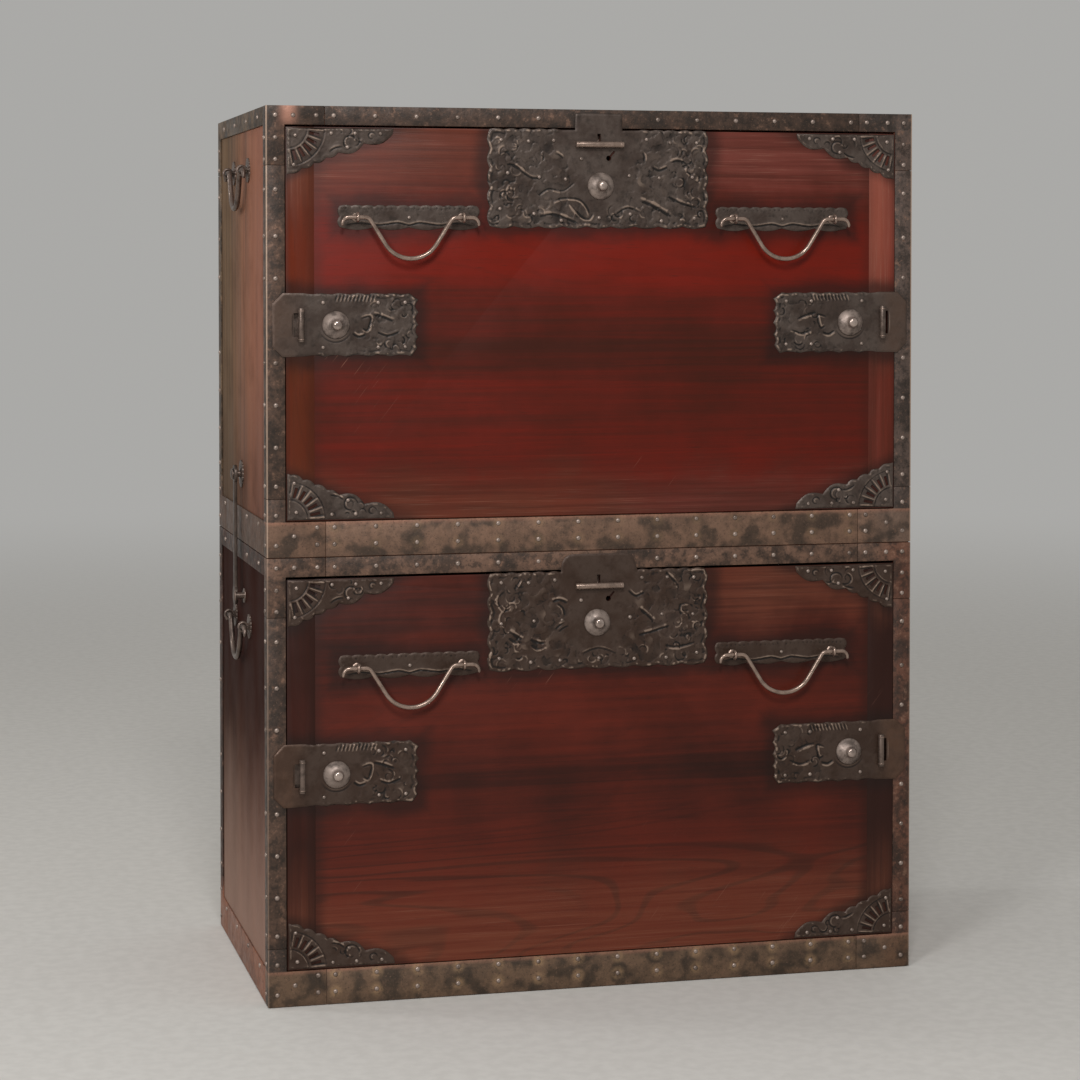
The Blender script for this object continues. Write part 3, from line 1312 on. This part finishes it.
def eye_post(form, wall=1.9):
    """Post with a ring for a rod, standing on +Z, with the ring's bore along X."""
    rod, stand = form["rod"], form["stand"]
    reach = rod + wall
    top = stand - reach + 0.4
    neck = [
        (rod + 2.6, 0), (rod + 2.6, 0.8), (rod + 0.9, 1.6), (rod + 0.1, 3), (rod - 0.5, top), (0, top)]
    bore = moved(ring(reach, wall - 0.15), Matrix.Translation((0, 0, stand * MM)))
    return joined([lathe(neck), bore])


class SEACHEST_OT_pulls(ChestOperator, bpy.types.Operator):
    """Forges the door pulls and the eyed posts that carry them"""

    bl_idname = "sea_chests.pulls"
    bl_label = "Door pulls"

    def execute(self, context):
        for unit in CHESTS:
            posts = []
            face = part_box(unit + "_lock_plate")[0].y
            for low, high in islands(unit + "_pull_mounts"):
                if high.x - low.x < NARROW:
                    continue
                middle = (low + high) / 2
                for side in (-1, 1):
                    foot = Vector((middle.x + side * PULL["span"] / 2 * MM, face, middle.z))
                    turn = Matrix.Translation(foot) @ Matrix.Rotation(math.pi / 2, 4, "X")
                    posts.append(moved(eye_post(PULL), turn))
            to_piece(unit + "_pull_posts", to_bmesh(joined(posts)), unit + "_door",
                     rubbed_iron("rod"), crease=50)
            for side in ("left", "right"):
                bail(f"{unit}_{side}_pull", PULL, "rod", (1, 0, 0))
        return {"FINISHED"}


class SEACHEST_OT_side_fittings(ChestOperator, bpy.types.Operator):
    """Forges the carrying handles, their posts and rosettes, and the stacking hooks with their studs"""

    bl_idname = "sea_chests.side_fittings"
    bl_label = "Side fittings"

    def execute(self, context):
        for unit in CHESTS:
            node = unit + "_side_fittings"
            fittings = []
            for low, high in islands(node):
                middle, width = (low + high) / 2, high.z - low.z
                side = math.copysign(1, middle.x)
                foot = Vector((low.x if side > 0 else high.x, middle.y, middle.z))
                turn = Matrix.Translation(foot) @ Matrix.Rotation(side * math.pi / 2, 4, "Y")
                turn = turn @ Matrix.Rotation(math.pi / 2, 4, "Z")
                radius = width / 2 / MM
                if abs(width - POST_ROSETTE) < MM:
                    shapes = [rosette(radius, 2.2), eye_post(HANDLE)]
                elif width > POST_ROSETTE:
                    shapes = [rosette(radius, 2.2), lathe(STUD_PROFILE)]
                else:
                    washer = [(radius, 0), (radius, 1.0), (radius - 0.6, 1.5), (0, 1.6)]
                    shapes = [lathe(washer), lathe(STUD_PROFILE)]
                fittings += [moved(shape, turn) for shape in shapes]
            to_piece(node + "_forged", to_bmesh(joined(fittings)), body_of(node),
                     rubbed_iron("handle"), [node], crease=50)
            for side in ("left", "right"):
                bail(f"{unit}_{side}_carry_handle", HANDLE, "handle", (0, 1, 0))
        for side in ("left", "right"):
            eased(side + "_hook", rubbed_iron("hook"), 0.9 * MM, 3)
        return {"FINISHED"}


class SEACHEST_OT_bolts(ChestOperator, bpy.types.Operator):
    """Eases the bolts and rings the ends of their grip bars"""

    bl_idname = "sea_chests.bolts"
    bl_label = "Bolts"

    def execute(self, context):
        for unit in CHESTS:
            for part, along in (("lock_bolt", 0), ("left_latch_bolt", 2), ("right_latch_bolt", 2)):
                node = f"{unit}_{part}"
                eased(node, rubbed_iron("rod" if along == 0 else "handle"), 1.0 * MM, 2)
                self.collars(node, along)
        return {"FINISHED"}

    def collars(self, node, along, bar_radius=3.5):
        """Puts small collars round both ends of the grip bar, which lies along X or Z."""
        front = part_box(node)[0].y + 2 * bar_radius * MM
        bar = np.array([v.co for v in NODES[node].data.vertices if v.co.y < front])
        low, high = Vector(bar.min(0)), Vector(bar.max(0))
        turn = Matrix.Rotation(0 if along == 0 else math.pi / 2, 4, "Y")
        shapes = []
        for end, sign in ((low, 1), (high, -1)):
            middle = (low + high) / 2
            middle.y = low.y + bar_radius * MM
            middle[along] = end[along] + sign * 3 * MM
            shapes.append(moved(ring(bar_radius - 0.2, 0.55), Matrix.Translation(middle) @ turn))
        to_piece(node + "_collars", to_bmesh(joined(shapes)), body_of(node),
                 rubbed_iron("rod"))


class SEACHEST_OT_stage(ChestOperator, bpy.types.Operator):
    """Sets up the floor, the lights, the world and the camera"""

    bl_idname = "sea_chests.stage"
    bl_label = "Stage"

    def execute(self, context):
        scene = context.scene
        scene.view_settings.view_transform = "Standard"
        make_floor(scene)
        make_world(scene)
        make_lamps(scene)
        make_camera(scene)
        return {"FINISHED"}


SURROUNDINGS = "#d6d5d2"
SURROUNDINGS_LEVEL = 0.6
FLOOR_FADE = (1.6, 6.5)  # metres from the middle
# Place, target, width in metres and power in watts of each soft box
LAMPS = {
    "left_softbox": ((-2.3, -3.0, 1.9), (0.0, 0.0, 0.55), 0.7, 46),
    "top_softbox": ((-0.7, -3.1, 3.2), (0.0, 0.0, 0.55), 0.7, 60),
    "side_softbox": ((-2.9, 0.9, 2.0), (-0.4, 0.0, 0.6), 0.5, 13),
}


def make_floor(scene):
    """A pale matt floor that fades into the surroundings, so that no horizon shows."""
    bm = bmesh.new()
    bmesh.ops.create_grid(bm, x_segments=8, y_segments=8, size=30)
    mesh = bpy.data.meshes.new("floor")
    bm.to_mesh(mesh)
    bm.free()
    floor = bpy.data.objects.new("floor", mesh)
    scene.collection.objects.link(floor)
    material, tree, shader, place = new_material("matt_pale_paint")
    speckle = add(tree, "TexNoise", {"Vector": place, "Scale": 60.0, "Detail": 3.0})
    look = coated(tree, "#d2cfca", ("#cbc8c3", (speckle, 0.3, 0.7)))
    connect(tree, shader, {"Base Color": look, "Roughness": 0.85})
    glow = add(tree, "Emission", {"Color": SURROUNDINGS, "Strength": SURROUNDINGS_LEVEL})
    away = add(tree, "VectorMath", {0: place}, operation="LENGTH")
    fade = add(tree, "MixShader", {"Fac": share(tree, (away, *FLOOR_FADE)), 1: shader, 2: glow})
    connect(tree, tree.nodes["Material Output"], {"Surface": fade})
    mesh.materials.append(material)


def make_world(scene):
    """Even pale surroundings."""
    world = bpy.data.worlds.new("pale_studio")
    scene.world = world
    world.use_nodes = True
    shade = world.node_tree.nodes["Background"]
    connect(world.node_tree, shade, {"Color": SURROUNDINGS, "Strength": SURROUNDINGS_LEVEL})


def make_lamps(scene):
    """Square soft boxes."""
    for name, (place, target, width, power) in LAMPS.items():
        lamp = bpy.data.lights.new(name, "AREA")
        lamp.shape = "SQUARE"
        lamp.size = width
        lamp.energy = power
        holder = bpy.data.objects.new(name, lamp)
        holder.location = place
        holder.rotation_euler = (Vector(target) - Vector(place)).to_track_quat("-Z", "Y").to_euler()
        scene.collection.objects.link(holder)


CAMERA_PLACE = (-0.863, -3.350, 0.865)
CAMERA_YAW = 14.10
CAMERA_PITCH = 1.70
CAMERA_LENS = 91.14
CAMERA_SHIFT = (0.002, -0.179)


def make_camera(scene):
    """The photograph's view: from the left, almost level, with a lowered frame."""
    camera = bpy.data.cameras.new("camera")
    camera.sensor_width = 36
    camera.lens = CAMERA_LENS
    camera.shift_x, camera.shift_y = CAMERA_SHIFT
    holder = bpy.data.objects.new("camera", camera)
    holder.location = CAMERA_PLACE
    holder.rotation_euler = (math.radians(90 - CAMERA_PITCH), 0, math.radians(-CAMERA_YAW))
    scene.collection.objects.link(holder)
    scene.camera = holder


# Panel and registration

OPERATORS = (
    SEACHEST_OT_case_boards, SEACHEST_OT_inner_boards, SEACHEST_OT_doors, SEACHEST_OT_straps,
    SEACHEST_OT_nails, SEACHEST_OT_bosses, SEACHEST_OT_door_plates, SEACHEST_OT_pulls,
    SEACHEST_OT_side_fittings, SEACHEST_OT_bolts, SEACHEST_OT_stage)


class SEACHEST_PT_panel(bpy.types.Panel):
    """Lists the colours, the sizes and the steps that make the pieces"""

    bl_label = "Sea chests"
    bl_idname = "SEACHEST_PT_panel"
    bl_space_type = "VIEW_3D"
    bl_region_type = "UI"
    bl_category = "Sea chests"

    def draw(self, context):
        for group in (context.scene.sea_chests.colours, context.scene.sea_chests.sizes):
            box = self.layout.box()
            for name in group.__annotations__:
                box.prop(group, name)
        for operator in OPERATORS:
            self.layout.operator(operator.bl_idname)


CLASSES = (ChestColours, ChestSizes, ChestSettings) + OPERATORS + (SEACHEST_PT_panel,)


def register():
    for cls in CLASSES:
        bpy.utils.register_class(cls)
    bpy.types.Scene.sea_chests = PointerProperty(type=ChestSettings)


def unregister():
    del bpy.types.Scene.sea_chests
    for cls in reversed(CLASSES):
        bpy.utils.unregister_class(cls)


def main():
    register()
    for operator in OPERATORS:
        group, name = operator.bl_idname.split(".")
        getattr(getattr(bpy.ops, group), name)()


if __name__ == "__main__":
    main()
